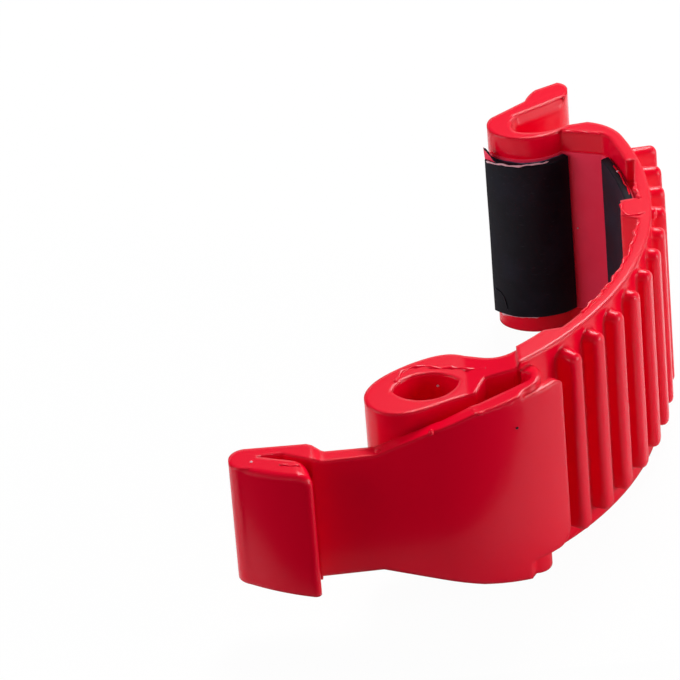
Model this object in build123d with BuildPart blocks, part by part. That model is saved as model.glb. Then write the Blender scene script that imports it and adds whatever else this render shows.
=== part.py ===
from build123d import *

# Red moulded clip that holds a ground glass joint together: a ribbed C-shaped arm with a
# catch hook at one end, and at the other a lug with a living hinge, a strap and its hook.
# Lengths are in millimetres. The outlines are drawn about the centre of the arm's arc and
# extruded upwards; at the end every piece is moved so that the origin is at the middle of
# the underside of the bounding box.
import os
from math import asin, atan2, cos, degrees, radians, sin

os.makedirs("parts", exist_ok=True)

# Arm: a curved wall standing on its lower edge
arm_height = 23.2
arm_radius = 35.5            # outer face of the wall
arm_wall = 1.3
arm_start = -55.0            # angle where the arm meets the lug
arm_end = 19.0               # angle where the far corner begins
thick_wall = 2.45            # stiffer stretch of wall beside the lug
thick_end = -45.5            # angle where that stretch ends
thick_taper = 2.5            # angle over which it thins to arm_wall

# Grip ribs on the outer face
rib_count = 11
rib_first = -45.66           # angle of the rib beside the lug
rib_pitch = 6.26             # angle from rib to rib
rib_width = 2.1              # at the foot
rib_draft = 6.0              # angle by which its sides narrow
rib_height = 1.3             # how far a rib stands out in the middle of the row
rib_near_height = 2.1        # and at the end of the row beside the lug
rib_far_height = 3.05        # and at its far end
rib_nose = 0.62              # rounding of its crest
rib_length = 20.8
rib_top_gap = 0.9            # from the top of a rib to the top of the arm
rib_root = 0.5               # how deep a rib is set into the wall
end_rib_angle = 21.7         # low rib on the far corner
end_rib_height = 0.75

# Stop tooth on the inner face
tooth_top = (-6.4, -1.5)     # angles of its crest
tooth_base = (-7.6, -0.9)    # angles of its foot
tooth_depth = 1.75

# Far corner, glue land and catch hook, as distances from where the arm's arc ends
corner_run = 3.25            # from there to the left, along the corner
far_rise = 3.3               # outer face behind the land
land_near = (2.0, 0.8)       # near end of the land, to the left and beyond
land_far = (6.1, 2.15)       # and its far end
catch_rise = 1.05            # lowest point of the curved face of the leg
catch_reach = 13.45          # left side of the bend
tip_reach = 4.8              # end of the hook
catch_depth = 11.6           # far side of the hook's head
catch_wall = 0.85            # thin leg that carries the rubber pad
catch_bend = 2.45            # thickness of the bend
catch_leg = 1.95             # thickness of the outer leg
catch_chamfer = 0.6

# Notch in the inner edge beside the tooth
notch_angles = (4.8, 11.3)
notch_depth = 0.9
notch_height = 2.5

# Lug with its through hole, as distances from the arm's foot
lug_drop = 1.4               # how far the lug is below the top of the arm
lug_lift = 3.8               # how far the lug is above the foot of the arm
neck_drop = 0.45             # step between the arm and the neck
neck_ramp = 5.0              # length over which the neck slopes down to the lug
lug_length = 15.05
lug_near = 5.05
lug_far = 4.75

# Hinge loop, strap and finger plate
strap_rise = 0.4             # middle of the strap above the middle of the arm
strap_reach = 6.8            # from the arm's foot out to the face of the straight stretch
strap_wall = 1.35
strap_curve = 17.5           # outer radius of the curved stretch
curve_reach = 8.85           # from the arm's foot back to where the curved stretch begins
loop_wall = 0.85
loop_reach = 2.0             # how far the loop stands out past the arm's foot
loop_bulge = 1.5             # how far below the foot it does
plate_wall = 1.0
plate_angle = 47.5           # how far the plate follows the curve
plate_foot = 3.0
plate_height = 18.85
plate_top_corner = 0.8
plate_foot_corner = 1.8

# Heights of the strap, at distances to the left of the arm's foot
strap_height = 13.2
hook_height = 14.0
widening_start = 14.45
widening_middle = 8.95
middle_height = 17.0
widening_end = 4.85
hinge_height = 19.6
loop_height = 22.8
loop_drop = 0.9              # how much less the loop reaches up than down

# Strap hook, as distances from the arm's foot
hook_rise = 0.8              # how much shorter the bend is at its foot
hook_reach = 28.5
tip_gap = 20.45              # tip of the leg
root_gap = 20.85             # where the rear face steps back to the strap
hook_rear = 4.6              # rear face of the hook's root
hook_depth = 10.5            # front of the leg's tip
hook_leg = 1.9
hook_bend = 1.3
root_wall = 1.35
root_slope = 0.9             # length over which its top slopes down to the strap
hook_corner = 1.3            # rounding of the leg's top corner
hook_brow = 0.6              # and along the top of its face

# Broad bead behind the land
bead_reach = 3.15
bead_width = 2.9
bead_height = 0.75

# Rubber pads and the tape that holds them
pad_wall = 1.0
pad_height = 18.2
inner_pad_height = 18.7
pad_foot = 2.3
tape_wall = 0.2
tape_lip = 0.25              # how far the tape shows past the pads, up and down
pad_reach = 0.4              # how far the hook pad stands out past the bend
pad_limit = 3.0              # where it ends on the bend, beyond the end of the arm's arc
hook_pad_reach = 6.05        # right end of the hook pad, from where the arm's arc ends
inner_pad_start = 19.3       # angle where the inner pad begins
pad_tooth_gap = 0.3

def on_arc(radius, angle):
    """Point at an angle in degrees on a circle about the arc's centre."""
    return (radius * cos(radians(angle)), radius * sin(radians(angle)))


def arc_between(radius, start, end):
    """Arc about the arc's centre from one angle to another."""
    return ThreePointArc(
        on_arc(radius, start), on_arc(radius, (start + end) / 2), on_arc(radius, end)
    )


middle = arm_height / 2
strap_middle = middle + strap_rise
rib_middle = arm_height - rib_top_gap - rib_length / 2
inner_radius = arm_radius - arm_wall

# Places that follow from the ends of the arm's arc
foot_x, foot_y = on_arc(arm_radius, arm_start)
end_x, end_y = on_arc(arm_radius, arm_end)
far_face = end_y + far_rise
land_start = (end_x - land_near[0], end_y + land_near[1])
land_end = (end_x - land_far[0], end_y + land_far[1])
catch_face_low = end_y + catch_rise
catch_left = end_x - catch_reach
catch_tip = end_x - tip_reach
catch_top = end_y + catch_depth
channel_left = catch_left + catch_bend
leg_floor = catch_face_low + catch_wall
lug_left = foot_x - lug_length
lug_front = foot_y - lug_near
lug_width = lug_near + lug_far
strap_face = foot_y - strap_reach
curve_start = foot_x - curve_reach
loop_right = foot_x + loop_reach
hook_left = foot_x - hook_reach
hook_tip = foot_x - tip_gap
root_step = foot_x - root_gap
hook_back = foot_y - hook_rear
hook_front = foot_y - hook_depth

# Arm with the tooth, the far corner, the land and the catch hook, in one outline
land_angle = degrees(atan2(land_start[1], land_start[0]))
thick_radius = arm_radius - thick_wall
tooth_radius = inner_radius - tooth_depth

with BuildSketch() as arm_outline:
    with BuildLine():
        # Outer face from the lug to the far corner
        arc_between(arm_radius, arm_start, arm_end)
        far_corner = ThreePointArc(
            (end_x, end_y),
            (end_x - corner_run * 0.39, end_y + far_rise * 0.62),
            (end_x - corner_run, far_face),
        )
        far_run = Line(far_corner @ 1, (catch_tip - 0.6, leg_floor + 1.1))
        # Channel of the catch hook: along the thin leg, round the bend, out along the outer leg
        thin_leg = ThreePointArc(
            far_run @ 1, (catch_tip - 3.6, leg_floor + 0.1), (channel_left + 0.35, leg_floor + 0.65)
        )
        bend_inside = ThreePointArc(
            thin_leg @ 1, (channel_left, leg_floor + 1.9), (channel_left + 0.45, leg_floor + 3.15)
        )
        channel_side = Line(bend_inside @ 1, (catch_tip - 1.1, catch_top - catch_leg - 1.9))
        tip_inside = ThreePointArc(
            channel_side @ 1, (catch_tip - 0.2, catch_top - 2.6), (catch_tip, catch_top - 1.6)
        )
        head_end = ThreePointArc(
            tip_inside @ 1, (catch_tip - 0.3, catch_top - 0.5), (catch_tip - 0.95, catch_top)
        )
        head_back = Line(head_end @ 1, (catch_tip - 3.3, catch_top - 1.15))
        head_step = ThreePointArc(
            head_back @ 1, (catch_tip - 3.95, catch_top - 2.0), (catch_tip - 4.5, catch_top - 3.2)
        )
        leg_back = Line(head_step @ 1, (catch_left + 0.55, leg_floor + 3.75))
        bend_outside = ThreePointArc(
            leg_back @ 1, (catch_left, leg_floor + 2.1), (catch_left + 0.75, leg_floor + 0.45)
        )
        # Curved face of the thin leg, the land and the inner face back to the lug
        catch_face = ThreePointArc(
            bend_outside @ 1, (catch_left + 3.35, catch_face_low), land_end
        )
        land = Line(catch_face @ 1, land_start)
        land_join = Line(land @ 1, on_arc(inner_radius, land_angle - 1.5))
        inner_far = arc_between(inner_radius, land_angle - 1.5, tooth_base[1])
        tooth_far = Line(inner_far @ 1, on_arc(tooth_radius, tooth_top[1]))
        tooth_crest = arc_between(tooth_radius, tooth_top[1], tooth_top[0])
        tooth_near = Line(tooth_crest @ 1, on_arc(inner_radius, tooth_base[0]))
        inner_near = arc_between(inner_radius, tooth_base[0], thick_end + thick_taper)
        taper = Line(inner_near @ 1, on_arc(thick_radius, thick_end))
        thick_face = arc_between(thick_radius, thick_end, arm_start + 3.0)
        arm_foot = Line(thick_face @ 1, on_arc(arm_radius, arm_start))
    make_face()

with BuildPart() as arm:
    add(arm_outline.sketch)
    extrude(amount=arm_height)
    # Lead-in along the top of the outer leg, on its channel side
    along = (channel_side @ 1) - (channel_side @ 0)
    lead_in = Plane(
        origin=channel_side @ 0.06 + Vector(0, 0, arm_height), x_dir=(0, 0, -1), z_dir=along
    )
    with BuildSketch(lead_in):
        with BuildLine():
            Polyline((0, catch_chamfer), (-1, catch_chamfer), (-1, -1), (1, -1), (1, 0), close=True)
        make_face()
    extrude(amount=along.length * 1.1, mode=Mode.SUBTRACT)

    # Notch in the top of the inner edge, deep at its far end
    with BuildSketch(Plane.XY.offset(arm_height)):
        with BuildLine():
            Polyline(
                on_arc(inner_radius - notch_depth, notch_angles[0]),
                on_arc(inner_radius, notch_angles[0]),
                on_arc(inner_radius + notch_depth, notch_angles[1] - 0.3),
                on_arc(inner_radius - notch_depth, notch_angles[1]),
                close=True,
            )
        make_face()
    extrude(amount=-notch_height, mode=Mode.SUBTRACT)

# Grip ribs: long beads with rounded ends, narrower at the crest, deepest at the row's ends
half_row = (rib_count - 1) / 2
rib_row = []
for index in range(rib_count):
    place = (index - half_row) / half_row
    end_height = rib_near_height if place < 0 else rib_far_height
    height = rib_height + (end_height - rib_height) * abs(place) ** 3
    rib_row.append((rib_first + index * rib_pitch, height))
rib_row.append((end_rib_angle, end_rib_height))

with BuildPart() as ribs:
    for angle, height in rib_row:
        rib_foot = on_arc(arm_radius - rib_root, angle)
        outwards = (*on_arc(1, angle), 0)
        with BuildSketch(Plane((*rib_foot, rib_middle), x_dir=(0, 0, 1), z_dir=outwards)):
            SlotOverall(rib_length, rib_width)
        extrude(amount=rib_root + height, taper=rib_draft)
        crest = ribs.faces(Select.LAST).sort_by(Axis((0, 0, 0), outwards))[-1]
        fillet(crest.edges(), radius=rib_nose)

# Lug: a thick block with a rounded end and an eye-shaped hole
def in_lug(along, across):
    """Point at a share of the lug's length from its left and of its width from its near side."""
    return (lug_left + along * lug_length, lug_front + across * lug_width)


with BuildPart() as lug:
    with BuildSketch():
        with BuildLine():
            back = Spline(
                on_arc(thick_radius, arm_start + 3.6),
                in_lug(0.81, 0.816),
                in_lug(0.591, 1),
                in_lug(0.398, 0.949),
                in_lug(0.206, 0.786),
                in_lug(0.04, 0.531),
                in_lug(0, 0.296),
                in_lug(0.086, 0.071),
                in_lug(0.219, 0),
                in_lug(0.372, 0.046),
                in_lug(0.717, 0.245),
            )
            end_face = Line(back @ 1, in_lug(0.783, 0.48))
            neck_face = Line(end_face @ 1, on_arc(arm_radius - 0.1, arm_start - 0.6))
            Polyline(
                neck_face @ 1,
                on_arc(arm_radius - 0.1, arm_start + 2.5),
                on_arc(thick_radius + 0.2, arm_start + 4.5),
                back @ 0,
            )
        make_face()
        with BuildLine():
            ThreePointArc(in_lug(0.183, 0.403), in_lug(0.432, 0.689), in_lug(0.618, 0.526))
            ThreePointArc(in_lug(0.618, 0.526), in_lug(0.392, 0.209), in_lug(0.183, 0.403))
        make_face(mode=Mode.SUBTRACT)
    extrude(amount=arm_height)
    # Both ends are lower than the arm and ramp up along the neck
    for end_drop in (lug_drop, lug_lift):
        with BuildSketch(Plane.XZ.offset(arm_radius)):
            with BuildLine():
                level = [
                    (lug_left - 1, end_drop),
                    (foot_x - neck_ramp, end_drop),
                    (foot_x, neck_drop),
                    (foot_x + neck_ramp, neck_drop),
                    (foot_x + neck_ramp, -1),
                    (lug_left - 1, -1),
                ]
                if end_drop == lug_drop:
                    level = [(x, arm_height - z) for x, z in level]
                Polyline(*level, close=True)
            make_face()
        extrude(amount=-arm_radius, mode=Mode.SUBTRACT)

# Strap with the hinge loop at one end and the folded hook at the other
curve_middle = (curve_start, strap_face + strap_curve)
strap_inside = strap_face + strap_wall


def on_strap(radius, angle):
    """Point on a circle about the middle of the strap's curve, angles from straight down."""
    return (
        curve_middle[0] + radius * sin(radians(angle)),
        curve_middle[1] - radius * cos(radians(angle)),
    )


with BuildSketch() as strap_outline:
    with BuildLine():
        # Outer side: hook leg, slot, strap face and the outside of the loop
        face = Line((hook_tip - 0.15, strap_face - 0.55), (curve_start, strap_face))
        face_curve = ThreePointArc(face @ 1, on_strap(strap_curve, 15), on_strap(strap_curve, 30))
        loop_outside = ThreePointArc(
            on_strap(strap_curve - plate_wall * 0.6, 33),
            (loop_right, foot_y - loop_bulge),
            on_arc(arm_radius - 0.3, arm_start + 2.2),
        )
        Line(face_curve @ 1, loop_outside @ 0)
        # Inner side of the loop and the strap
        loop_end = Line(loop_outside @ 1, on_arc(arm_radius - 0.6, arm_start + 0.5))
        loop_top = Line(loop_end @ 1, (loop_right - 2.05 * loop_wall, foot_y - 0.11 * loop_bulge))
        loop_tip = ThreePointArc(
            loop_top @ 1,
            (loop_right - loop_wall, foot_y - 0.68 * loop_bulge),
            (loop_right - 1.65 * loop_wall, foot_y - 1.35 * loop_bulge),
        )
        loop_inside = Line(loop_tip @ 1, on_strap(strap_curve - strap_wall - 0.25, 17))
        strap_bend = Line(loop_inside @ 1, (curve_start + 1.2, strap_inside + 0.1))
        inside = Line(strap_bend @ 1, (root_step + 1.6, strap_inside - 0.1))
        # Root of the hook steps back, then the bend and the leg
        step_back = Line(inside @ 1, (root_step - 0.1, hook_back))
        root_back = Line(step_back @ 1, (hook_left + hook_bend + 0.3, hook_back))
        bend_top = ThreePointArc(
            root_back @ 1, (hook_left + 0.3, hook_back - 0.75), (hook_left, hook_back - 1.7)
        )
        bend_low = ThreePointArc(
            bend_top @ 1, (hook_left + 0.25, hook_back - 2.75), (hook_left + 1.1, hook_back - 3.4)
        )
        leg_face = ThreePointArc(
            bend_low @ 1, (hook_left + 4.6, hook_front + 0.9), (hook_tip, hook_front)
        )
        leg_end = Line(leg_face @ 1, (hook_tip - 0.5, hook_front + hook_leg + 0.75))
        leg_inside = Line(leg_end @ 1, (hook_left + 2.7, hook_back - root_wall - 0.15))
        slot_top = Line(leg_inside @ 1, (hook_left + 5.2, hook_back - root_wall))
        Line(slot_top @ 1, face @ 0)
    make_face()

with BuildPart() as strap:
    add(strap_outline.sketch)
    extrude(amount=arm_height)
    with BuildSketch(Plane.XZ.offset(arm_radius * 1.4)):
        with BuildLine():
            half = [
                (hook_left - 1, hook_height / 2),
                (hook_tip + 0.05, hook_height / 2),
                (hook_tip + 0.1, strap_height / 2),
                (foot_x - widening_start, strap_height / 2),
                (foot_x - widening_middle, middle_height / 2),
                (foot_x - widening_end, hinge_height / 2),
                (loop_right, loop_height / 2),
                (loop_right + 3, loop_height / 2),
            ]
            outline = [(x, strap_middle + z) for x, z in half[:2]]
            outline.append((hook_tip + root_slope, strap_middle + strap_height / 2))
            outline += [(x, strap_middle + z) for x, z in half[3:-2]]
            outline += [(x, strap_middle + z - loop_drop) for x, z in half[-2:]]
            outline += [(x, strap_middle - z) for x, z in reversed(half[1:])]
            outline.append((hook_left - 1, strap_middle - hook_height / 2 + hook_rise))
            Polyline(*outline, close=True)
        make_face()
    extrude(amount=-arm_radius, mode=Mode.INTERSECT)
    # The leg of the hook is rounded at its free corner and along the top of its face
    leg_top = strap_middle + hook_height / 2
    leg_corner = (hook_tip, hook_front + hook_leg / 2, leg_top)
    fillet(strap.edges().sort_by_distance(leg_corner)[0], radius=hook_corner)
    leg_brow = (hook_left + 4.6, hook_front + 0.9, leg_top)
    fillet(strap.edges().sort_by_distance(leg_brow)[0], radius=hook_brow)

# Finger plate laid along the outside of the strap and past the hinge
with BuildPart() as plate:
    with BuildSketch():
        with BuildLine():
            outer = ThreePointArc(
                on_strap(strap_curve, 14),
                on_strap(strap_curve, (14 + plate_angle) / 2),
                on_strap(strap_curve, plate_angle),
            )
            rim = Line(outer @ 1, on_strap(strap_curve - plate_wall, plate_angle))
            inner = ThreePointArc(
                rim @ 1,
                on_strap(strap_curve - plate_wall, (14 + plate_angle) / 2),
                on_strap(strap_curve - plate_wall, 14),
            )
            Line(inner @ 1, outer @ 0)
        make_face()
    extrude(amount=plate_height)
    free_end = plate.faces().sort_by(Axis.X)[-1]
    fillet(free_end.edges().sort_by(Axis.Z)[-1], radius=plate_top_corner)
    fillet(plate.edges().sort_by(Axis.X)[-3:].sort_by(Axis.Z)[0], radius=plate_foot_corner)

with BuildPart() as clip_moulding:
    add(arm.part)
    add(lug.part)
    add(strap.part)
    with Locations((0, 0, plate_foot)):
        add(plate.part)
    add(ribs.part)
    # Broad bead on the outer face behind the land
    with BuildSketch(
        Plane(
            (end_x - bead_reach, far_face - rib_root, rib_middle), x_dir=(0, 0, 1), z_dir=(0, 1, 0)
        )
    ):
        SlotOverall(rib_length, bead_width)
    extrude(amount=rib_root + bead_height, taper=rib_draft)

# Pads and tape lie along the inner side of the wall, which a window round it picks out
with BuildSketch() as inner_side:
    with BuildLine():
        Polyline(
            (catch_left - pad_reach, end_y + pad_limit),
            (channel_left - 1.2, end_y + pad_limit),
            (channel_left - 0.8, leg_floor + 0.5),
            (catch_left + 3.6, catch_face_low + catch_wall / 2),
            (land_end[0] - 1.2, land_end[1] - 0.3),
            (land_end[0] + 0.1, land_end[1] + 0.2),
            (land_start[0] + 0.9, land_start[1] + 0.3),
            on_arc(inner_radius + arm_wall / 2, 10),
            (inner_radius + arm_wall / 2, pad_tooth_gap),
            (inner_radius - 4, pad_tooth_gap),
            (land_end[0], catch_face_low - 3),
            (catch_left - pad_reach, catch_face_low - 3),
            close=True,
        )
    make_face()


def wall_strip(near, far):
    """Strip along the inner side of the wall, between two distances from it."""
    with BuildSketch() as strip:
        offset(arm_outline.sketch, amount=far)
        if near > 0:
            offset(arm_outline.sketch, amount=near, mode=Mode.SUBTRACT)
        add(arm_outline.sketch, mode=Mode.SUBTRACT)
        add(inner_side.sketch, mode=Mode.INTERSECT)
    return strip.sketch


with BuildPart() as adhesive_tape:
    with BuildSketch(Plane.XY.offset(pad_foot - tape_lip)):
        add(wall_strip(0, tape_wall))
    extrude(amount=pad_height + 2 * tape_lip)

with BuildPart() as hook_pad:
    with BuildSketch(Plane.XY.offset(pad_foot)):
        add(wall_strip(tape_wall, tape_wall + pad_wall))
        split(bisect_by=Plane((end_x - hook_pad_reach, 0, 0), z_dir=(-1, 0, 0)))
    extrude(amount=pad_height)

pad_back = inner_radius - tape_wall
pad_near = degrees(asin(pad_tooth_gap / pad_back))
with BuildPart() as inner_pad:
    with BuildSketch(Plane.XY.offset(pad_foot)):
        with BuildLine():
            pad_outside = arc_between(pad_back, pad_near, inner_pad_start)
            pad_inside = arc_between(pad_back - pad_wall, pad_near, inner_pad_start)
            Line(pad_outside @ 0, pad_inside @ 0)
            Line(pad_outside @ 1, pad_inside @ 1)
        make_face()
    extrude(amount=inner_pad_height)

# The origin goes to the middle of the clip's underside
bounds = clip_moulding.part.bounding_box()
to_origin = Location((-bounds.center().X, -bounds.center().Y, -bounds.min.Z))
clip_moulding.part.move(to_origin)
adhesive_tape.part.move(to_origin)
hook_pad.part.move(to_origin)
inner_pad.part.move(to_origin)

clip_moulding.part.label = "clip_moulding"
adhesive_tape.part.label = "adhesive_tape"
hook_pad.part.label = "hook_pad"
inner_pad.part.label = "inner_pad"
export_step(clip_moulding.part, "parts/clip_moulding.step")
export_step(adhesive_tape.part, "parts/adhesive_tape.step")
export_step(hook_pad.part, "parts/hook_pad.step")
export_step(inner_pad.part, "parts/inner_pad.step")
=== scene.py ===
"""Studio scene of a red moulded clip for ground glass joints.

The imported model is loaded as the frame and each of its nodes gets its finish. The rubber
pads, the glue, the moulding flash and the specks on the plastic are surfaces worked out
with numpy. Sizes of the clip are in millimetres about the centre of the arm's arc, with z
up from the foot of the arm, and are turned into the frame's metres by the Drawing class.
Lamps, and the lengths in the finishes, are in metres.
"""

import logging
import math
from dataclasses import dataclass
from enum import Enum
from typing import ClassVar

import bpy
import numpy as np
from mathutils import Matrix, Vector


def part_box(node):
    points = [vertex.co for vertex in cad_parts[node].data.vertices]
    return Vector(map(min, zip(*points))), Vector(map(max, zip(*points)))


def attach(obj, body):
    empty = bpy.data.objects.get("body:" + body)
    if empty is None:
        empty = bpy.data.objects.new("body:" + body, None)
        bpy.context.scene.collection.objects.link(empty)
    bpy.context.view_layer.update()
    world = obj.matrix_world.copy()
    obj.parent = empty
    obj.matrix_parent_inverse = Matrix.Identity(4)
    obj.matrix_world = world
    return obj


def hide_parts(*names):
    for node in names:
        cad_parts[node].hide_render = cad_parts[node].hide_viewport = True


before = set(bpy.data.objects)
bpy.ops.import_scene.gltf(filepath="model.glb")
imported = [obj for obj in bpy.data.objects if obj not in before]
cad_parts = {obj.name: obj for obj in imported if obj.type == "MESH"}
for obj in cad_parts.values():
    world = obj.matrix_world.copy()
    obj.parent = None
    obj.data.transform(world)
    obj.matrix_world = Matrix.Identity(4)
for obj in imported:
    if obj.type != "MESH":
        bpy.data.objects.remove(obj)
log = logging.getLogger("clip")
MM = 0.001
WHITE = (1, 1, 1, 1)


class Drawing:
    """The working drawing's frame: millimetres about the centre of the arm's arc.

    The moulding's box begins at left along X and ends at back along Y.
    """

    left = -8.138
    back = 23.158

    @classmethod
    def shift(cls) -> np.ndarray:
        """Row-frame place, in metres, of the drawing's origin."""
        low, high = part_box("clip_moulding")
        return np.array([low.x - cls.left * MM, high.y - cls.back * MM, low.z])

    @classmethod
    def to_row(cls, points: np.ndarray) -> np.ndarray:
        """Turns drawing points into the row frame.

        Args:
            points: array of millimetre points, last axis of length three.

        Returns:
            The same array in metres in the row frame.
        """
        return np.asarray(points, float) * MM + cls.shift()


class Signal:
    """A shader socket that takes part in ordinary arithmetic."""

    def __init__(self, board: "Board", socket: bpy.types.NodeSocket) -> None:
        """Wraps one output socket of a board."""
        self.board = board
        self.socket = socket

    def _math(self, operation: str, *values: object) -> "Signal":
        """One Math node.

        Args:
            operation: the node's operation.
            values: its inputs in order, signals or numbers.

        Returns:
            The node's result.
        """
        return self.board.node("ShaderNodeMath", {"operation": operation}, dict(enumerate(values)))

    def __add__(self, other: object) -> "Signal":
        """Sum."""
        return self._math("ADD", self, other)

    __radd__ = __add__

    def __sub__(self, other: object) -> "Signal":
        """Difference."""
        return self._math("SUBTRACT", self, other)

    def __rsub__(self, other: object) -> "Signal":
        """Difference with this signal on the right."""
        return self._math("SUBTRACT", other, self)

    def __mul__(self, other: object) -> "Signal":
        """Product."""
        return self._math("MULTIPLY", self, other)

    __rmul__ = __mul__

    def __truediv__(self, other: object) -> "Signal":
        """Quotient."""
        return self._math("DIVIDE", self, other)

    def clamped(self) -> "Signal":
        """The signal held between nought and one."""
        return self._math("MINIMUM", self._math("MAXIMUM", self, 0.0), 1.0)

    def step(self, low: float, high: float) -> "Signal":
        """Smooth rise from nought to one.

        Args:
            low: value at which the rise starts.
            high: value at which it ends.

        Returns:
            The eased share between the two.
        """
        share = ((self - low) / (high - low)).clamped()
        return share * share * (3.0 - 2.0 * share)


class Board:
    """Node board of one material or of the world."""

    def __init__(self, tree: bpy.types.NodeTree) -> None:
        """Takes over a node tree."""
        self.tree = tree

    @classmethod
    def material(cls, name: str) -> tuple["Board", bpy.types.Material]:
        """A new material with its board."""
        made = bpy.data.materials.new(name)
        made.use_nodes = True
        return cls(made.node_tree), made

    def feed(self, socket: bpy.types.NodeSocket, value: object) -> None:
        """Links a signal to a socket, or sets the socket's own value."""
        if isinstance(value, Signal):
            self.tree.links.new(value.socket, socket)
        else:
            socket.default_value = value

    def node(
        self, kind: str, settings: dict | None = None, inputs: dict | None = None, out: object = 0
    ) -> Signal:
        """Adds a node.

        Args:
            kind: the node's type.
            settings: its properties.
            inputs: values or signals by input name or number.
            out: the output that is wanted, by name or number.

        Returns:
            That output.
        """
        made = self.tree.nodes.new(kind)
        for name, value in (settings or {}).items():
            setattr(made, name, value)
        for name, value in (inputs or {}).items():
            self.feed(made.inputs[name], value)
        return Signal(self, made.outputs[out])

    def mix(self, factor: object, first: object, second: object) -> Signal:
        """Blend of two colours.

        Args:
            factor: share of the second colour.
            first: colour or signal at nought.
            second: colour or signal at one.

        Returns:
            The blended colour.
        """
        return self.node(
            "ShaderNodeMix", {"data_type": "RGBA"}, {0: factor, 6: first, 7: second}, out=2
        )

    def blend(self, factor: object, first: Signal, second: Signal) -> Signal:
        """Blend of two shaders, with the factor as the share of the second."""
        return self.node(
            "ShaderNodeMixShader", None, {0: factor, 1: first, 2: second}, out="Shader"
        )

    def matt(self, level: float) -> Signal:
        """Plain matt shader of one grey level."""
        return self.node(
            "ShaderNodeBsdfDiffuse", None, {"Color": (level, level, level, 1)}, out="BSDF"
        )

    def noise(self, scale: float, detail: float, finer: tuple = (1, 1, 1)) -> Signal:
        """Cloudy noise on Object coordinates.

        Args:
            scale: cells per metre.
            detail: octaves.
            finer: how many times finer the noise is along each axis.

        Returns:
            The noise between nought and one.
        """
        place = self.node("ShaderNodeTexCoord", out="Object")
        drawn = self.node("ShaderNodeMapping", None, {"Vector": place, "Scale": finer})
        return self.node(
            "ShaderNodeTexNoise", None, {"Vector": drawn, "Scale": scale, "Detail": detail}
        )

    def surface(self, **inputs: object) -> None:
        """Feeds the Principled shader; underscores in the names stand for blanks."""
        shader = self.tree.nodes["Principled BSDF"]
        for name, value in inputs.items():
            self.feed(shader.inputs[name.replace("_", " ")], value)


SCREEN_LEVELS = 255
STRAIGHT_LEVELS = 10
STRAIGHT_SCALE = 3294
CURVE_SHIFT = 0.055
CURVE_POWER = 2.4


def linear(level: float) -> float:
    """Linear light of an eight-bit screen level.

    It is level / STRAIGHT_SCALE up to STRAIGHT_LEVELS, and a power curve above.
    """
    if level <= STRAIGHT_LEVELS:
        return level / STRAIGHT_SCALE
    return ((level / SCREEN_LEVELS + CURVE_SHIFT) / (1 + CURVE_SHIFT)) ** CURVE_POWER


def rgba(red: float, green: float, blue: float) -> tuple[float, float, float, float]:
    """Linear colour of an eight-bit screen colour."""
    return linear(red), linear(green), linear(blue), 1.0


@dataclass(frozen=True)
class MouldedPlastic:
    """Glossy red plastic with soft moulded edges and a painted highlight along them."""

    name: str = "red_moulded_plastic"
    slot: str = "red_plastic"
    body: tuple = rgba(246, 0, 41)
    deep: tuple = rgba(234, 0, 45)
    # colour of the painted highlight on the rounded edges
    edge: tuple = rgba(255, 8, 42)
    cloud_scale: float = 60.0
    cloud_detail: float = 1.0
    edge_round: float = 0.0006
    edge_samples: int = 6
    edge_highlight_from: float = 0.04
    edge_highlight_to: float = 0.3
    edge_highlight_share: float = 0.7
    roughness: float = 0.2
    specular: float = 0.26
    depth_weight: float = 0.02
    depth_radius: tuple = (1.0, 0.12, 0.1)
    depth_scale: float = 0.0012

    def make(self) -> bpy.types.Material:
        """Builds the material.

        Returns:
            Red plastic; where edge_round isn't nought, its edges are rounded by a bevelled
            normal and a painted highlight makes them a little brighter.
        """
        board, made = Board.material(self.name)
        cloud = board.noise(self.cloud_scale, self.cloud_detail)
        colour = board.mix(cloud, self.body, self.deep)
        if self.edge_round:
            rounded = board.node(
                "ShaderNodeBevel", {"samples": self.edge_samples}, {"Radius": self.edge_round}
            )
            flat = board.node("ShaderNodeNewGeometry", out="True Normal")
            facing = board.node(
                "ShaderNodeVectorMath",
                {"operation": "DOT_PRODUCT"},
                {0: rounded, 1: flat},
                out="Value",
            )
            # painted highlight: the edge colour is mixed in where the bevelled normal turns from
            # the true one
            turned = (1.0 - facing).step(self.edge_highlight_from, self.edge_highlight_to)
            colour = board.mix(turned * self.edge_highlight_share, colour, self.edge)
            board.surface(Normal=rounded)
        board.surface(
            Base_Color=colour,
            Roughness=self.roughness,
            Specular_IOR_Level=self.specular,
            Subsurface_Weight=self.depth_weight,
            Subsurface_Radius=self.depth_radius,
            Subsurface_Scale=self.depth_scale,
        )
        return made


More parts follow.
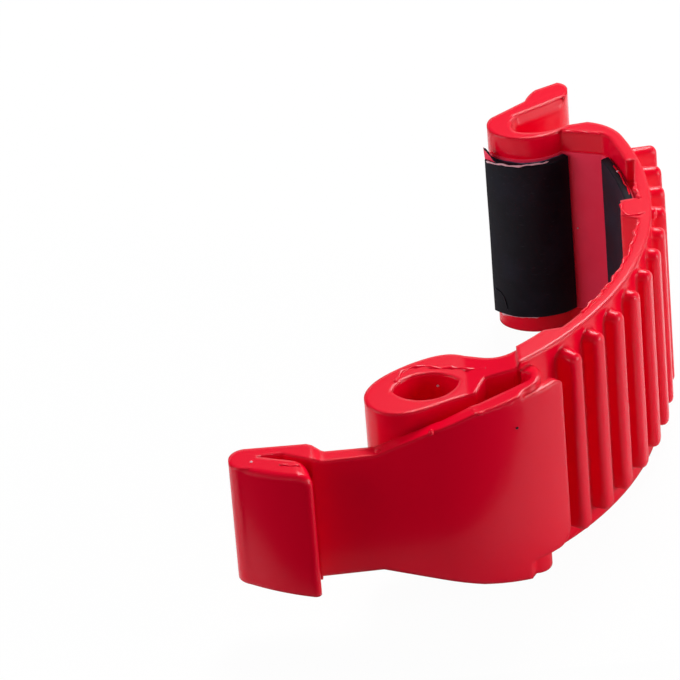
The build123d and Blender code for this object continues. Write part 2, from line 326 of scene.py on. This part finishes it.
@dataclass(frozen=True)
class BlackRubber:
    """Matt black rubber with a bluish bloom and pale dust."""

    name: str = "black_pad_rubber"
    slot: str = "black_rubber"
    body: tuple = rgba(14, 14, 22)
    bloom: tuple = rgba(34, 36, 48)
    bloom_scale: float = 260.0
    bloom_detail: float = 4.0
    bloom_range: tuple = (0.4, 0.75)
    bloom_share: float = 0.5
    dust: tuple = rgba(110, 112, 126)
    dust_scale: float = 1500.0
    dust_detail: float = 2.0
    dust_finer: tuple = (1.0, 1.0, 4.0)
    dust_range: tuple = (0.66, 0.72)
    dust_share: float = 0.05
    grain_scale: float = 5200.0
    grain_detail: float = 2.0
    grain_strength: float = 0.35
    grain_height: float = 0.00003
    roughness: float = 0.5
    bloom_roughness: float = 0.15
    specular: float = 0.12
    sheen: float = 0.2
    sheen_roughness: float = 0.35
    sheen_tint: tuple = rgba(196, 204, 255)

    def make(self) -> bpy.types.Material:
        """Builds the material.

        Returns:
            Dark rubber with uneven bloom, fine grain and a little dust.
        """
        board, made = Board.material(self.name)
        cloud = board.noise(self.bloom_scale, self.bloom_detail).step(*self.bloom_range)
        grain = board.noise(self.grain_scale, self.grain_detail)
        dust = board.noise(self.dust_scale, self.dust_detail, self.dust_finer)
        dust = dust.step(*self.dust_range)
        bumped = board.node(
            "ShaderNodeBump",
            None,
            {"Strength": self.grain_strength, "Distance": self.grain_height, "Height": grain},
        )
        clean = board.mix(cloud * self.bloom_share, self.body, self.bloom)
        board.surface(
            Base_Color=board.mix(dust * self.dust_share, clean, self.dust),
            Roughness=self.roughness + self.bloom_roughness * cloud,
            Normal=bumped,
            Specular_IOR_Level=self.specular,
            Sheen_Weight=self.sheen,
            Sheen_Roughness=self.sheen_roughness,
            Sheen_Tint=self.sheen_tint,
        )
        return made


@dataclass(frozen=True)
class MilkyTape:
    """Clear adhesive film that makes the red under it look rosy."""

    name: str = "milky_tape"
    slot: str = "clear_tape"
    body: tuple = rgba(255, 62, 98)
    bare: tuple = rgba(250, 38, 76)
    cloud_scale: float = 210.0
    cloud_detail: float = 4.0
    cloud_range: tuple = (0.35, 0.7)
    cloud_share: float = 0.45
    roughness: float = 0.42
    cloud_roughness: float = 0.1
    specular: float = 0.2

    def make(self) -> bpy.types.Material:
        """Builds the material.

        Returns:
            Rosy film with cloudy glue under it.
        """
        board, made = Board.material(self.name)
        cloud = board.noise(self.cloud_scale, self.cloud_detail).step(*self.cloud_range)
        board.surface(
            Base_Color=board.mix(cloud * self.cloud_share, self.body, self.bare),
            Roughness=self.roughness + self.cloud_roughness * cloud,
            Specular_IOR_Level=self.specular,
        )
        return made


@dataclass(frozen=True)
class DriedGlue:
    """Whitish pink glue that has dried along the pads."""

    name: str = "dried_glue"
    slot: str = "clear_tape"
    body: tuple = rgba(238, 190, 202)
    roughness: float = 0.35

    def make(self) -> bpy.types.Material:
        """Builds the material.

        Returns:
            Pale, slightly shiny glue.
        """
        board, made = Board.material(self.name)
        board.surface(Base_Color=self.body, Roughness=self.roughness)
        return made


class Finish(Enum):
    """The finishes of the clip.

    The flash is narrower than the rounding of the moulding's edges, so it has none.
    """

    PLASTIC = MouldedPlastic()
    FLASH = MouldedPlastic(name="moulding_flash", edge_round=0.0)
    RUBBER = BlackRubber()
    TAPE = MilkyTape()
    GLUE = DriedGlue()


def linked(name: str, data: bpy.types.ID) -> bpy.types.Object:
    """A new object that shows the data, linked to the scene."""
    made = bpy.data.objects.new(name, data)
    bpy.context.scene.collection.objects.link(made)
    return made


def sheet(name: str, corners: list, paint: bpy.types.Material) -> bpy.types.Object:
    """A flat sheet.

    Args:
        name: the object's name.
        corners: its four corners in metres, in order round the sheet.
        paint: its material.

    Returns:
        The object.
    """
    mesh = bpy.data.meshes.new(name)
    mesh.from_pydata(corners, [], [(0, 1, 2, 3)])
    mesh.materials.append(paint)
    return linked(name, mesh)


class Workshop:
    """Makes each finish once and puts it on objects."""

    def __init__(self) -> None:
        """Starts with no material made."""
        self.made: dict[Finish, bpy.types.Material] = {}

    def finish(self, choice: Finish) -> bpy.types.Material:
        """The material of a finish, made on first use."""
        if choice not in self.made:
            self.made[choice] = choice.value.make()
        return self.made[choice]

    def dress_node(self, node: str, choice: Finish) -> None:
        """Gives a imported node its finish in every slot."""
        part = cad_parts[node]
        if part.material_slots:
            for place in part.material_slots:
                place.material = self.finish(choice)
        else:
            part.data.materials.append(self.finish(choice))
        log.info("dressed %s", node)

    def piece(
        self, name: str, points: np.ndarray, faces: list, choice: Finish
    ) -> bpy.types.Object:
        """A new closed mesh piece that rides on the clip.

        Args:
            name: the object's name.
            points: drawing points, one row each.
            faces: rows of point numbers, three or four each.
            choice: its finish.

        Returns:
            The object, smooth shaded.
        """
        mesh = bpy.data.meshes.new(name)
        rows = [[int(number) for number in face] for face in faces]
        mesh.from_pydata(Drawing.to_row(points).tolist(), [], rows)
        mesh.polygons.foreach_set("use_smooth", np.ones(len(mesh.polygons), bool))
        mesh.validate()
        turn_outward(mesh)
        mesh.materials.append(self.finish(choice))
        made = linked(name, mesh)
        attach(made, "root")
        log.info("%s: %d faces", name, len(faces))
        return made


def turn_outward(mesh: bpy.types.Mesh) -> None:
    """Turns a closed mesh's faces outwards when its signed volume is below nought."""
    mesh.calc_loop_triangles()
    corner = np.zeros(len(mesh.loop_triangles) * 3, int)
    mesh.loop_triangles.foreach_get("vertices", corner)
    place = np.zeros(len(mesh.vertices) * 3)
    mesh.vertices.foreach_get("co", place)
    a, b, c = place.reshape(-1, 3)[corner.reshape(-1, 3)].transpose(1, 0, 2)
    middle = a.mean(0)
    volume = np.einsum("ij,ij->i", a - middle, np.cross(b - middle, c - middle)).sum()
    if float(volume) < 0:
        mesh.flip_normals()


def grid_faces(rows: int, columns: int) -> np.ndarray:
    """Quads of a rows by columns grid, wound row by row."""
    i, j = np.meshgrid(np.arange(rows - 1), np.arange(columns - 1), indexing="ij")
    a = (i * columns + j).ravel()
    return np.stack([a, a + 1, a + columns + 1, a + columns], axis=1)


def slab(front: np.ndarray, back: np.ndarray) -> tuple[np.ndarray, np.ndarray]:
    """Closed shell between two grids of the same size.

    The two grids keep their own points, and a ring of quads joins their borders.

    Args:
        front: rows by columns by three, seen from its own outer side.
        back: the same size, behind it.

    Returns:
        Points and quads.
    """
    rows, columns = front.shape[:2]
    count = rows * columns
    face = grid_faces(rows, columns)
    number = np.arange(count).reshape(rows, columns)
    ring = np.concatenate([number[0, :-1], number[:-1, -1], number[-1, :0:-1], number[:0:-1, 0]])
    after = np.roll(ring, -1)
    side = np.stack([ring, ring + count, after + count, after], axis=1)
    points = np.concatenate([front.reshape(-1, 3), back.reshape(-1, 3)])
    return points, np.concatenate([face, face[:, ::-1] + count, side])


def tube(path: np.ndarray, radius: np.ndarray, sides: int = 8) -> tuple[np.ndarray, list]:
    """Closed tube along a path, drawn to a point at both ends.

    Each ring is path + radius (cos a * across + sin a * up), and a fan of triangles joins
    the first and last rings to the path's own ends.

    Args:
        path: points along the middle.
        radius: radius at each point; those of the two ends aren't used.
        sides: corners of a ring.

    Returns:
        Points and faces.
    """
    along = np.gradient(path, axis=0)
    along /= np.linalg.norm(along, axis=1)[:, None]
    across = np.cross(along, (0.0, 0.0, 1.0))
    across /= np.linalg.norm(across, axis=1)[:, None]
    up = np.cross(across, along)
    turn = np.linspace(0, 2 * math.pi, sides, endpoint=False)
    cos, sin = np.cos(turn)[None, :, None], np.sin(turn)[None, :, None]
    spoke = cos * across[1:-1, None] + sin * up[1:-1, None]
    rings = path[1:-1, None] + radius[1:-1, None, None] * spoke
    count = len(path) - 2
    i, j = np.meshgrid(np.arange(count - 1), np.arange(sides), indexing="ij")
    a, b = (i * sides + j).ravel(), (i * sides + (j + 1) % sides).ravel()
    faces = np.stack([a, a + sides, b + sides, b], axis=1).tolist()
    first, last, top = count * sides, count * sides + 1, (count - 1) * sides
    for corner in range(sides):
        after = (corner + 1) % sides
        faces.append([first, corner, after])
        faces.append([last, top + after, top + corner])
    return np.concatenate([rings.reshape(-1, 3), path[:1], path[-1:]]), faces


def smoothed(path: tuple, rounds: int = 3, cut: float = 0.25) -> np.ndarray:
    """Rounds a path whose two ends stay.

    Args:
        path: its points.
        rounds: how many times the corners are cut.
        cut: share of each run that a cut takes off at each end.

    Returns:
        The rounded path's points.
    """
    points = np.array(path, float)
    for _ in range(rounds):
        early = (1 - cut) * points[:-1] + cut * points[1:]
        late = cut * points[:-1] + (1 - cut) * points[1:]
        middle = np.stack([early, late], axis=1).reshape(-1, 3)
        points = np.concatenate([points[:1], middle[1:-1], points[-1:]])
    return points


def circle_through(a: tuple, b: tuple, c: tuple) -> tuple[np.ndarray, float]:
    """Centre and radius of the circle through three points of the plan."""
    a, b, c = (np.array(p, float) for p in (a, b, c))
    rows = np.array([b - a, c - a]) * 2
    right = np.array([b @ b - a @ a, c @ c - a @ a])
    centre = np.linalg.solve(rows, right)
    return centre, float(np.linalg.norm(a - centre))


def eased_edge(distance: np.ndarray, radius: float) -> np.ndarray:
    """Quarter-round rise: nought at the edge, one at a radius from it and beyond."""
    inside = 1 - np.clip(distance / radius, 0, 1)
    return np.sqrt(1 - inside**2)


def crowded(count: int, pull: float = 0.91) -> np.ndarray:
    """Places from nought to one that crowd towards both ends.

    They are t - pull sin(2 pi t) / (2 pi), with t evenly spaced.
    """
    t = np.linspace(0, 1, count)
    return t - pull * np.sin(2 * math.pi * t) / (2 * math.pi)


def uneven(place: np.ndarray, slow: float, fast: float) -> np.ndarray:
    """Uneven wave of one sine and a weaker, faster one."""
    fast_share, fast_start = 0.6, 1.0
    return np.sin(place * slow) + fast_share * np.sin(place * fast + fast_start)


@dataclass
class RubberPad:
    """Rubber strip glued to a curved wall, with rounded edges.

    Lengths are in millimetres and the arc's start and end in degrees. The rim is the share
    of the thickness at the very edge, and the wave is how far the ends stray up and down.
    """

    wave_rates: ClassVar[tuple] = (9.0, 23.0)
    swell_share: ClassVar[float] = 0.02
    swell_along: ClassVar[float] = 7
    swell_start: ClassVar[float] = 2
    swell_up: ClassVar[float] = 9

    centre: tuple = (0.0, 0.0)
    radius: float = 34.0
    start: float = 0.0
    end: float = 10.0
    outward: float = -1.0
    thickness: float = 0.85
    foot: float = 2.3
    height: float = 18.2
    edge: float = 0.12
    rim: float = 0.25
    wave: float = 0.03

    def surfaces(self, columns: int = 64, rows: int = 72) -> tuple[np.ndarray, np.ndarray]:
        """Front and back grids.

        A point is centre + (radius + outward * lift)(cos, sin) of the angle, and lift
        rises by a quarter round from the rim at each edge to the strip's thickness.

        Args:
            columns: points along the arc.
            rows: points up the strip.

        Returns:
            The front grid and the back grid.
        """
        u, v = np.meshgrid(crowded(columns), crowded(rows), indexing="ij")
        length = abs(math.radians(self.end - self.start)) * self.radius
        angle = np.radians(self.start + (self.end - self.start) * u)
        z = self.foot + self.height * v
        z += self.wave * uneven(u, *self.wave_rates) * (v - 0.5) * 2
        sides = eased_edge(np.minimum(u, 1 - u) * length, self.edge)
        ends = eased_edge(np.minimum(v, 1 - v) * self.height, self.edge)
        lift = self.rim + (1 - self.rim) * np.minimum(sides, ends)
        lift *= self.thickness * self.swell(u, v)
        return self.bend(angle, z, lift), self.bend(angle, z, np.zeros_like(lift))

    def swell(self, u: np.ndarray, v: np.ndarray) -> np.ndarray:
        """Local share of the thickness, which strays a little from one."""
        along = np.sin(self.swell_along * u + self.swell_start)
        return 1 + self.swell_share * along * np.sin(self.swell_up * v)

    def bend(self, angle: np.ndarray, z: np.ndarray, lift: np.ndarray) -> np.ndarray:
        """Wraps angle, height and lift round the wall's arc."""
        reach = self.radius + self.outward * lift
        return np.stack(
            [self.centre[0] + reach * np.cos(angle), self.centre[1] + reach * np.sin(angle), z],
            axis=-1,
        )

    def build(self, shop: Workshop, name: str, node: str) -> None:
        """Makes the strip in place of its node.

        Args:
            shop: the workshop that dresses it.
            name: the new piece's name.
            node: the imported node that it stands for.
        """
        made = shop.piece(name, *slab(*self.surfaces()), Finish.RUBBER)
        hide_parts(node)


@dataclass
class CatchPad(RubberPad):
    """The pad on the catch hook's curved leg.

    It reaches past the outer face points by past_left and past_right, in degrees.
    """

    face_points: tuple = ((20.85, 13.9), (23.45, 12.6), (27.45, 13.7))
    tape: float = 0.2
    past_left: float = 8.0
    past_right: float = 0.5

    def __post_init__(self) -> None:
        """Works out the leg's arc from three points of its face."""
        middle, radius = circle_through(*self.face_points)
        ends = [np.degrees(np.arctan2(*(np.array(p) - middle)[::-1])) for p in self.face_points]
        self.centre, self.radius = tuple(middle), radius + self.tape
        self.start, self.end = ends[0] % 360 - self.past_left, ends[2] % 360 + self.past_right
        self.outward = 1.0


@dataclass
class WallPad(RubberPad):
    """The pad on the arm's inner face beside the tooth."""

    start: float = 0.55
    end: float = 19.4
    height: float = 18.7


@dataclass
class Thread:
    """A thin raised line: moulding flash, a string of glue, a crease, or a dark line of painted
    shade.

    Thickness is the line's radius and sway how far it strays to the side. Each wave of the
    swell is a share of the thickness, a rate per millimetre and a start.
    """

    spacing: ClassVar[float] = 0.25
    least_points: ClassVar[int] = 12
    sway_rates: ClassVar[tuple] = (2.3, 5.1)
    swell_waves: ClassVar[tuple] = ((0.3, 3.7, 0.5), (0.15, 8.9, 0.0))

    name: str
    path: tuple
    thickness: float
    finish: Finish = Finish.FLASH
    sway: float = 0.05

    def build(self, shop: Workshop) -> None:
        """Makes the line.

        Args:
            shop: the workshop that dresses it.
        """
        points = smoothed(self.path)
        step = np.linalg.norm(np.diff(points, axis=0), axis=1)
        run = np.concatenate([[0.0], np.cumsum(step)])
        count = max(self.least_points, int(run[-1] / self.spacing))
        even = np.linspace(0, run[-1], count)
        points = np.stack([np.interp(even, run, points[:, axis]) for axis in range(3)], axis=1)
        side = np.cross(np.gradient(points, axis=0), (0.0, 0.0, 1.0))
        side /= np.linalg.norm(side, axis=1)[:, None]
        points += (self.sway * uneven(even, *self.sway_rates))[:, None] * side
        swell = 1 + sum(size * np.sin(even * rate + at) for size, rate, at in self.swell_waves)
        shop.piece(self.name, *tube(points, self.thickness * swell), self.finish)


@dataclass
class Speck:
    """A small bead on the surface: a nib of plastic, a drop of glue or a grain of dirt."""

    rings: ClassVar[int] = 13
    sides: ClassVar[int] = 12

    name: str
    centre: tuple
    length: float
    radius: float
    finish: Finish = Finish.GLUE

    def build(self, shop: Workshop) -> None:
        """Makes the bead as an ellipsoid along X.

        Args:
            shop: the workshop that dresses it.
        """
        share = -np.cos(np.linspace(0, math.pi, self.rings))
        path = np.array(self.centre) + share[:, None] * np.array([self.length, 0.0, 0.0])
        made = tube(path, self.radius * np.sqrt(1 - share**2), self.sides)
        shop.piece(self.name, *made, self.finish)


@dataclass
class CurledFlap:
    """The corner of the film that stands up past the catch pad's left end."""

    base: tuple = ((19.68, 13.8, 20.3), (20.4, 13.05, 20.4), (21.6, 12.25, 20.45))
    rise: float = 1.35
    least_rise: float = 0.02
    fall_power: float = 1.6
    lean: tuple = (-0.1, 0.25)
    thickness: float = 0.08
    back_shift: float = 0.04
    rows: int = 6
    # radius of the dark line of painted shade along the flap's top
    painted_shade_radius: float = 0.09

    def build(self, shop: Workshop) -> None:
        """Makes the flap, and a dark line along its upper edge that is painted shade of the gap
        behind it.

        Its height is least_rise + rise * left to fall_power, where left goes from one at the
        left end of the foot to nought at the right.

        Args:
            shop: the workshop that dresses it.
        """
        foot = smoothed(self.base)
        left = 1 - np.linspace(0, 1, len(foot))
        height = self.rise * left**self.fall_power + self.least_rise
        top = foot + np.stack([self.lean[0] * left, self.lean[1] * left, height], axis=1)
        v = np.linspace(0, 1, self.rows)[None, :, None]
        front = foot[:, None] * (1 - v) + top[:, None] * v
        back = front + np.array([self.back_shift, self.thickness, 0.0])
        shop.piece("film_flap", *slab(front, back), Finish.TAPE)
        # painted shade: a black rubber line along the flap's top stands for the shadow in the gap
        # behind the film
        edge = tuple(map(tuple, top))
        Thread("film_flap_painted_shade", edge, self.painted_shade_radius, Finish.RUBBER, 0.0).build(shop)


def on_arc(radius: float, degrees: np.ndarray, height: float) -> tuple:
    """Points at a height on a circle about the drawing's origin."""
    turn = np.radians(degrees)
    return tuple((radius * math.cos(t), radius * math.sin(t), height) for t in turn)


class Clip:
    """The whole clip: the dressed moulding and tape, the pads and the marks on them."""

    threads = (
        Thread("arm_inner_flash", on_arc(34.2, np.linspace(-38, -8, 14), 23.18), 0.15, sway=0.09),
        Thread("arm_far_flash", on_arc(34.22, np.linspace(-1.5, 4.2, 5), 23.15), 0.2, sway=0.12),
        Thread(
            "tooth_flash",
            ((32.5, -1.3, 23.1), (32.42, -3.4, 23.15), (33.3, -3.9, 23.15), (34.9, -3.5, 23.2)),
            0.14,
        ),
        Thread(
            "land_flash",
            ((27.6, 13.55, 23.1), (28.5, 13.3, 23.15), (29.8, 12.85, 23.15), (31.5, 12.4, 23.15)),
            0.14,
        ),
        Thread(
            "lug_flash",
            (
                (8.34, -28.59, 21.7), (9.11, -26.74, 21.7), (10.62, -25.72, 21.7),
                (12.13, -26.49, 21.7), (14.53, -26.86, 21.7), (17.5, -28.0, 21.9),
            ),
            0.22,
            sway=0.08,
        ),
        Thread(
            "plate_flash",
            ((15.83, -35.3, 21.8), (18.24, -34.5, 21.85), (20.6, -33.0, 21.85)),
            0.16,
        ),
        Thread(
            "hook_flash",
            ((-3.3, -36.8, 19.0), (-2.25, -37.2, 19.0), (-1.2, -37.5, 18.9)),
            0.13,
            sway=0.1,
        ),
        Thread("wall_pad_rim", on_arc(33.86, np.linspace(16.5, 6.0, 8), 21.02), 0.08),
        Thread(
            "catch_pad_glue",
            (
                (19.75, 13.5, 20.42), (20.62, 12.65, 20.48), (22.1, 11.9, 20.5),
                (24.14, 11.7, 20.5), (26.1, 12.2, 20.5),
            ),
            0.09,
            Finish.GLUE,
            0.07,
        ),
        Thread(
            "catch_foot_glue",
            ((20.3, 13.1, 2.3), (22.0, 12.15, 2.25), (24.0, 11.95, 2.2), (26.2, 12.5, 2.2)),
            0.12,
            Finish.GLUE,
        ),
        Thread(
            "catch_pad_crease",
            (
                (19.74, 13.5, 5.12), (20.27, 12.98, 5.03), (20.55, 12.76, 4.7),
                (20.75, 12.6, 4.1), (20.95, 12.45, 2.9),
            ),
            0.07,
            Finish.RUBBER,
            0.0,
        ),
    )
    specks = (
        Speck("outer_nub", (35.45, -2.7, 22.5), 0.5, 0.65, Finish.FLASH),
        Speck("strap_nib_left", (6.25, -35.6, 18.65), 0.35, 0.3, Finish.FLASH),
        Speck("strap_nib_right", (11.45, -35.75, 20.5), 0.28, 0.35, Finish.FLASH),
        Speck("plate_dirt", (19.71, -33.82, 18.91), 0.16, 0.14, Finish.RUBBER),
        Speck("hole_speck", (12.56, -27.5, 20.34), 0.16, 0.14),
        Speck("hook_speck", (-5.91, -36.04, 19.0), 0.14, 0.11),
        Speck("land_speck", (28.65, 13.08, 11.76), 0.1, 0.1),
        Speck("wall_pad_speck", (32.8, 8.3, 21.0), 0.15, 0.14),
    )

    def __init__(self, shop: Workshop) -> None:
        """Takes the workshop that dresses the pieces."""
        self.shop = shop

    def build(self) -> None:
        """Dresses the nodes and makes the added pieces."""
        self.shop.dress_node("clip_moulding", Finish.PLASTIC)
        self.shop.dress_node("adhesive_tape", Finish.TAPE)
        CatchPad().build(self.shop, "catch_pad", "hook_pad")
        WallPad().build(self.shop, "wall_pad", "inner_pad")
        CurledFlap().build(self.shop)
        for mark in (*self.threads, *self.specks):
            mark.build(self.shop)


@dataclass(frozen=True)
class Lamp:
    """A soft rectangular lamp.

    Its place, the aim point that it faces and its size are in metres, and its share is how
    bright a white surface that faces it becomes at the aim point.
    """

    name: str
    place: tuple
    aim: tuple
    size: tuple
    share: float

    def build(self) -> None:
        """Hangs the lamp in the scene."""
        data = bpy.data.lights.new(self.name, "AREA")
        data.shape = "RECTANGLE"
        data.size, data.size_y = self.size
        towards = Vector(self.aim) - Vector(self.place)
        data.energy = self.share * math.pi**2 * towards.length**2
        made = linked(self.name, data)
        made.location = self.place
        made.rotation_mode = "QUATERNION"
        made.rotation_quaternion = towards.to_track_quat("-Z", "Y")


@dataclass
class Studio:
    """White floor, soft lamps and the camera at the photograph's angle.

    Angles are in degrees. The aim point, the camera's distance and the card are in the
    drawing's millimetres, and the floor and the clipping range in metres.
    """

    lamps: ClassVar[tuple] = (
        Lamp("overhead_box", (0.12, 0.36, 0.46), (0, 0, 0), (0.22, 0.22), 0.84),
        Lamp("left_box", (-0.55, -0.16, 0.16), (0, 0, 0.01), (0.34, 0.4), 0.46),
        Lamp("right_box", (0.55, -0.14, 0.14), (0, 0, 0.01), (0.2, 0.34), 0.62),
    )

    look_down: float = 32.5
    lean: float = 4.75
    distance: float = 700.0
    frame_px: float = 680.0
    focal_px: float = 7000.0
    aim: tuple = (3.5, -4.1, 11.6)
    sensor: float = 36.0
    clip_range: tuple = (0.01, 50.0)
    ambient: float = 0.22
    ceiling: float = 0.04
    dim_from: float = 0.12
    dim_to: float = 0.42
    floor_half: float = 3.0
    floor_bounce: float = 0.55
    floor_pale: float = 0.9
    glow_share: float = 0.97
    card_across: tuple = (-70.0, 50.0)
    card_along: tuple = (-47.5, -260.0)
    card_height: float = 0.05
    card_grey: float = 0.01
    card_roughness: float = 0.9
    card_specular: float = 0.1

    def camera(self) -> None:
        """Places the camera.

        It looks along +Y and down by look_down at the aim point, and is rolled by lean.
        """
        down, roll = math.radians(self.look_down), math.radians(self.lean)
        ahead = np.array([0.0, math.cos(down), -math.sin(down)])
        below = np.array([0.0, -math.sin(down), -math.cos(down)])
        side = np.array([1.0, 0.0, 0.0])
        right = math.cos(roll) * side + math.sin(roll) * below
        up = math.sin(roll) * side - math.cos(roll) * below
        place = Drawing.to_row(np.array(self.aim) - self.distance * ahead)
        data = bpy.data.cameras.new("photograph_camera")
        data.sensor_width = self.sensor
        data.lens = self.sensor * self.focal_px / self.frame_px
        data.clip_start, data.clip_end = self.clip_range
        made = linked("photograph_camera", data)
        made.matrix_world = Matrix(
            [(right[i], up[i], -ahead[i], place[i]) for i in range(3)] + [(0, 0, 0, 1)]
        )
        bpy.context.scene.camera = made

    def world(self) -> None:
        """A white room with a dark ceiling, dim as a light.

        It is white up to dim_from above the horizon and the ceiling's grey from dim_to on,
        alike for the camera and for mirrored rays, so that level faces stay saturated.
        """
        world = bpy.data.worlds.new("white_room")
        world.use_nodes = True
        bpy.context.scene.world = world
        board = Board(world.node_tree)
        seen = self.seen_ray(board)
        way = board.node("ShaderNodeTexCoord", out="Generated")
        height = board.node("ShaderNodeSeparateXYZ", None, {"Vector": way}, out="Z")
        room = 1.0 - height.step(self.dim_from, self.dim_to) * (1.0 - self.ceiling)
        back = world.node_tree.nodes["Background"]
        back.inputs["Color"].default_value = WHITE
        board.feed(back.inputs["Strength"], room * seen + self.ambient * (1.0 - seen))

    @staticmethod
    def seen_ray(board: Board) -> Signal:
        """One for rays from the camera, a mirror or glass, and nought for the others."""
        camera = board.node("ShaderNodeLightPath", out="Is Camera Ray")
        glossy = board.node("ShaderNodeLightPath", out="Is Glossy Ray")
        glass = board.node("ShaderNodeLightPath", out="Is Transmission Ray")
        return (camera + glossy + glass).clamped()

    def floor(self) -> None:
        """A pale sheet under the clip that keeps a faint shadow.

        The camera sees glow_share of plain white glow and the rest as a lit white sheet, a
        mirrored ray sees the lit white sheet, and other light bounces off a duller one.
        """
        board, paint = Board.material("white_sheet")
        glow = board.node(
            "ShaderNodeEmission", None, {"Color": WHITE, "Strength": 1.0}, out="Emission"
        )
        camera = board.node("ShaderNodeLightPath", out="Is Camera Ray")
        white = board.blend(camera * self.glow_share, board.matt(self.floor_pale), glow)
        both = board.blend(self.seen_ray(board), board.matt(self.floor_bounce), white)
        board.feed(paint.node_tree.nodes["Material Output"].inputs["Surface"], both)
        half = self.floor_half
        corners = [(-half, -half, 0), (half, -half, 0), (half, half, 0), (-half, half, 0)]
        made = sheet("floor", corners, paint)

    def dark_card(self) -> None:
        """A black card on the floor in front of the clip, just outside the picture.

        It stands for the dark side of the room behind the camera. The clip's front mirrors
        it, and the camera and the shadows leave it out.
        """
        board, paint = Board.material("black_card")
        board.surface(
            Base_Color=(self.card_grey, self.card_grey, self.card_grey, 1.0),
            Roughness=self.card_roughness,
            Specular_IOR_Level=self.card_specular,
        )
        (left, right), (near, far) = self.card_across, self.card_along
        plan = ((left, far), (right, far), (right, near), (left, near))
        corners = np.array([(x, y, self.card_height) for x, y in plan])
        made = sheet("dark_card", Drawing.to_row(corners).tolist(), paint)
        made.visible_camera = False
        made.visible_shadow = False

    def build(self) -> None:
        """Sets up the camera, the room, the floor, the card and the lamps."""
        bpy.context.scene.view_settings.view_transform = "Standard"
        self.camera()
        self.world()
        self.floor()
        self.dark_card()
        for lamp in self.lamps:
            lamp.build()
        log.info("studio ready")


def main() -> None:
    """Builds the clip and the studio."""
    logging.basicConfig(level=logging.INFO, format="%(name)s: %(message)s")
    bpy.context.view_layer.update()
    Clip(Workshop()).build()
    Studio().build()
    bpy.context.view_layer.update()


if __name__ == "__main__":
    main()
